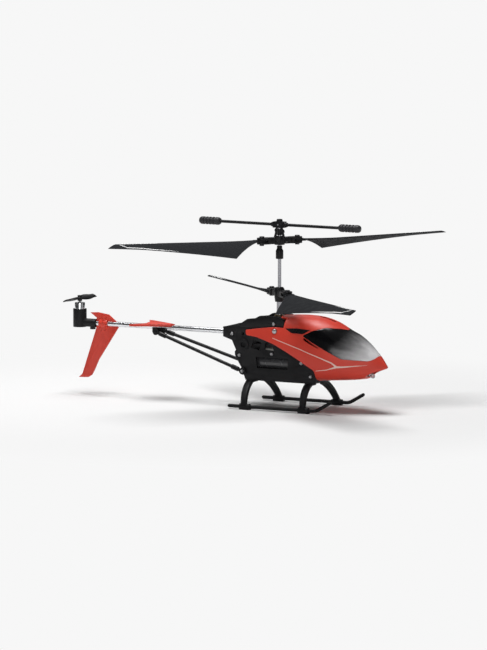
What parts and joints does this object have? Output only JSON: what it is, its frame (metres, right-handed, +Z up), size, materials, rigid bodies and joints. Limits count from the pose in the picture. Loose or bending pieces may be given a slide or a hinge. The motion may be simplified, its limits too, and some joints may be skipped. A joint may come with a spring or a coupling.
{
  "type": "toy remote control helicopter",
  "caption": "Small coaxial toy helicopter with stacked counter-turning rotors, flybar, red cabin, black frame, slim tail boom with fin and tail propeller, and landing skids.",
  "frame": {"origin": "bottom centre of the whole model's box, on the ground under the feet; the rotor axis stands 26.7 mm ahead of it", "axes": "+X to the nose, +Y to the left side, +Z up"},
  "size_m": [0.2128, 0.1712, 0.1063],
  "materials": {
    "red_shell": "satin orange-red moulded shell",
    "black_frame": "fine-grained black moulding",
    "housing_black": "smooth black moulding",
    "windshield": "printed smoke-black to silver glossy panel",
    "blade_charcoal": "charcoal moulded blade with pale tip lines",
    "weight_grey": "dark grey ribbed weight",
    "strut_black": "black pultruded rod",
    "boom_metal": "bright drawn tube",
    "shaft_steel": "ground steel",
    "motor_steel": "drawn steel can",
    "screw_steel": "bright screw head",
    "screw_dark": "blackened screw",
    "bearing_brass": "sintered bronze",
    "gear_nylon": "natural nylon",
    "battery_wrap": "shrink wrap",
    "board": "solder-masked board",
    "switch_white": "pale knob",
    "lamp_clear": "clear lamp"
  },
  "bodies": {
    "fuselage": {"side_plate_left": "black_frame", "side_plate_right": "black_frame", "frame_floor": "black_frame", "motor_deck": "black_frame", "gear_deck": "black_frame", "motor_guards": "black_frame", "rotor_housing": "housing_black", "boom_clamp": "black_frame", "frame_spacers": "black_frame", "shaft_bearings": "bearing_brass", "motor_front": "motor_steel", "motor_rear": "motor_steel", "nose_tray": "black_frame", "battery": "battery_wrap", "circuit_board": "board", "charge_socket": "housing_black", "switch_housing": "housing_black", "cabin_left": "red_shell", "cabin_right": "red_shell", "windshield": "windshield", "vent_panels": "housing_black", "nose_lamp": "lamp_clear", "skid_left": "black_frame", "skid_right": "black_frame", "legs_left": "black_frame", "legs_right": "black_frame", "tail_boom": "boom_metal", "strut_bracket": "black_frame", "strut_left": "strut_black", "strut_right": "strut_black", "tail_fin": "red_shell", "stabilizer": "red_shell", "tail_motor_mount": "black_frame", "tail_motor": "boom_metal", "frame_screws": "screw_steel", "cabin_screws": "screw_steel"},
    "upper_rotor": {"inner_shaft": "shaft_steel", "inner_gear": "gear_nylon", "mast_collar": "housing_black", "rotor_pins": "shaft_steel"},
    "lower_rotor": {"outer_shaft": "shaft_steel", "outer_gear": "gear_nylon", "lower_grip": "housing_black", "lower_blade_screws": "screw_dark"},
    "flybar": {"flybar_carrier": "housing_black", "flybar_rod": "housing_black", "flybar_weights": "weight_grey"},
    "upper_grip": {"upper_grip": "housing_black", "upper_blade_screws": "screw_dark"},
    "link_a": {"link_a": "housing_black"},
    "link_b": {"link_b": "housing_black"},
    "upper_blade_a": {"upper_blade_a": "blade_charcoal"},
    "upper_blade_b": {"upper_blade_b": "blade_charcoal"},
    "lower_blade_a": {"lower_blade_a": "blade_charcoal"},
    "lower_blade_b": {"lower_blade_b": "blade_charcoal"},
    "front_pinion": {"front_pinion": "bearing_brass"},
    "rear_pinion": {"rear_pinion": "bearing_brass"},
    "tail_propeller": {"tail_propeller": "housing_black"},
    "switch_knob": {"switch_knob": "switch_white"}
  },
  "joints": [
    {"name": "upper_rotor_spin", "type": "hinge", "parent": "fuselage", "child": "upper_rotor", "pos_m": [0.02673, 0, 0.06], "axis": [0, 0, 1], "continuous": true},
    {"name": "lower_rotor_spin", "type": "hinge", "parent": "fuselage", "child": "lower_rotor", "pos_m": [0.02673, 0, 0.06], "axis": [0, 0, 1], "continuous": true},
    {"name": "front_pinion_spin", "type": "hinge", "parent": "fuselage", "child": "front_pinion", "pos_m": [0.03618, 0, 0.03], "axis": [0, 0, 1], "continuous": true},
    {"name": "rear_pinion_spin", "type": "hinge", "parent": "fuselage", "child": "rear_pinion", "pos_m": [0.01728, 0, 0.03], "axis": [0, 0, 1], "continuous": true},
    {"name": "flybar_tilt", "type": "hinge", "parent": "upper_rotor", "child": "flybar", "pos_m": [0.02673, 0, 0.1032], "axis": [0.0523, 0.9986, 0], "range_deg": [-16, 16]},
    {"name": "grip_tilt", "type": "hinge", "parent": "upper_rotor", "child": "upper_grip", "pos_m": [0.02673, 0, 0.0943], "axis": [0.0523, 0.9986, 0], "range_deg": [-8, 8]},
    {"name": "link_a_swing", "type": "hinge", "parent": "flybar", "child": "link_a", "pos_m": [0.02913, -0.00013, 0.1032], "axis": [0.0523, 0.9986, 0], "range_deg": [-16, 16]},
    {"name": "link_b_swing", "type": "hinge", "parent": "flybar", "child": "link_b", "pos_m": [0.02433, 0.00013, 0.1032], "axis": [0.0523, 0.9986, 0], "range_deg": [-16, 16]},
    {"name": "upper_blade_a_fold", "type": "hinge", "parent": "upper_grip", "child": "upper_blade_a", "pos_m": [0.03354, 0.00851, 0.0943], "axis": [0, 0, 1], "range_deg": [-35, 35]},
    {"name": "upper_blade_b_fold", "type": "hinge", "parent": "upper_grip", "child": "upper_blade_b", "pos_m": [0.01991, -0.00851, 0.0943], "axis": [0, 0, 1], "range_deg": [-35, 35]},
    {"name": "lower_blade_a_fold", "type": "hinge", "parent": "lower_rotor", "child": "lower_blade_a", "pos_m": [0.03521, -0.00685, 0.0646], "axis": [0, 0, 1], "range_deg": [-35, 35]},
    {"name": "lower_blade_b_fold", "type": "hinge", "parent": "lower_rotor", "child": "lower_blade_b", "pos_m": [0.01825, 0.00685, 0.0646], "axis": [0, 0, 1], "range_deg": [-35, 35]},
    {"name": "tail_propeller_spin", "type": "hinge", "parent": "fuselage", "child": "tail_propeller", "pos_m": [-0.10247, 0, 0.054], "axis": [0, 0, 1], "continuous": true},
    {"name": "switch_slide", "type": "slide", "parent": "fuselage", "child": "switch_knob", "axis": [1, 0, 0], "range_m": [-0.001, 0.001]}
  ],
  "couplings": [
    {"joint": "front_pinion_spin", "follows": "upper_rotor_spin", "ratio": -4.4},
    {"joint": "rear_pinion_spin", "follows": "lower_rotor_spin", "ratio": -4.4},
    {"joint": "grip_tilt", "follows": "flybar_tilt", "ratio": 0.5},
    {"joint": "link_a_swing", "follows": "flybar_tilt", "ratio": -1},
    {"joint": "link_b_swing", "follows": "flybar_tilt", "ratio": -1}
  ]
}
